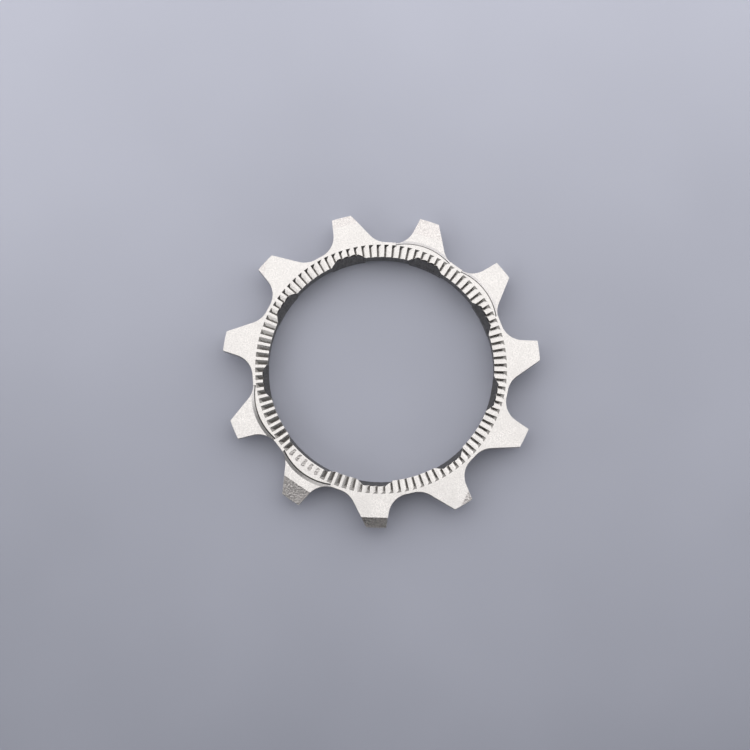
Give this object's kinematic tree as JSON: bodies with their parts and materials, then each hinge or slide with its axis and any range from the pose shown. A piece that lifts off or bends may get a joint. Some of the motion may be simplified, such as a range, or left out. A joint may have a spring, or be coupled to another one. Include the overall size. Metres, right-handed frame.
{
  "type": "cassette cog",
  "caption": "Flat steel chain cog with leaning teeth, a saw-tooth serrated lock face, a splined bore and a spacer ring behind the teeth.",
  "frame": {"origin": "on the bore axis, in the plane of the spacer ring's back face", "axes": "+Z along the bore axis towards the serrated lock face, +X to the right and +Y up in the picture"},
  "size_m": [0.0461, 0.0458, 0.0037],
  "materials": {
    "plated_steel": "nickel-plated steel, satin, tumbled edges"
  },
  "bodies": {
    "root": {"cassette_cog": "plated_steel"}
  },
  "joints": []
}
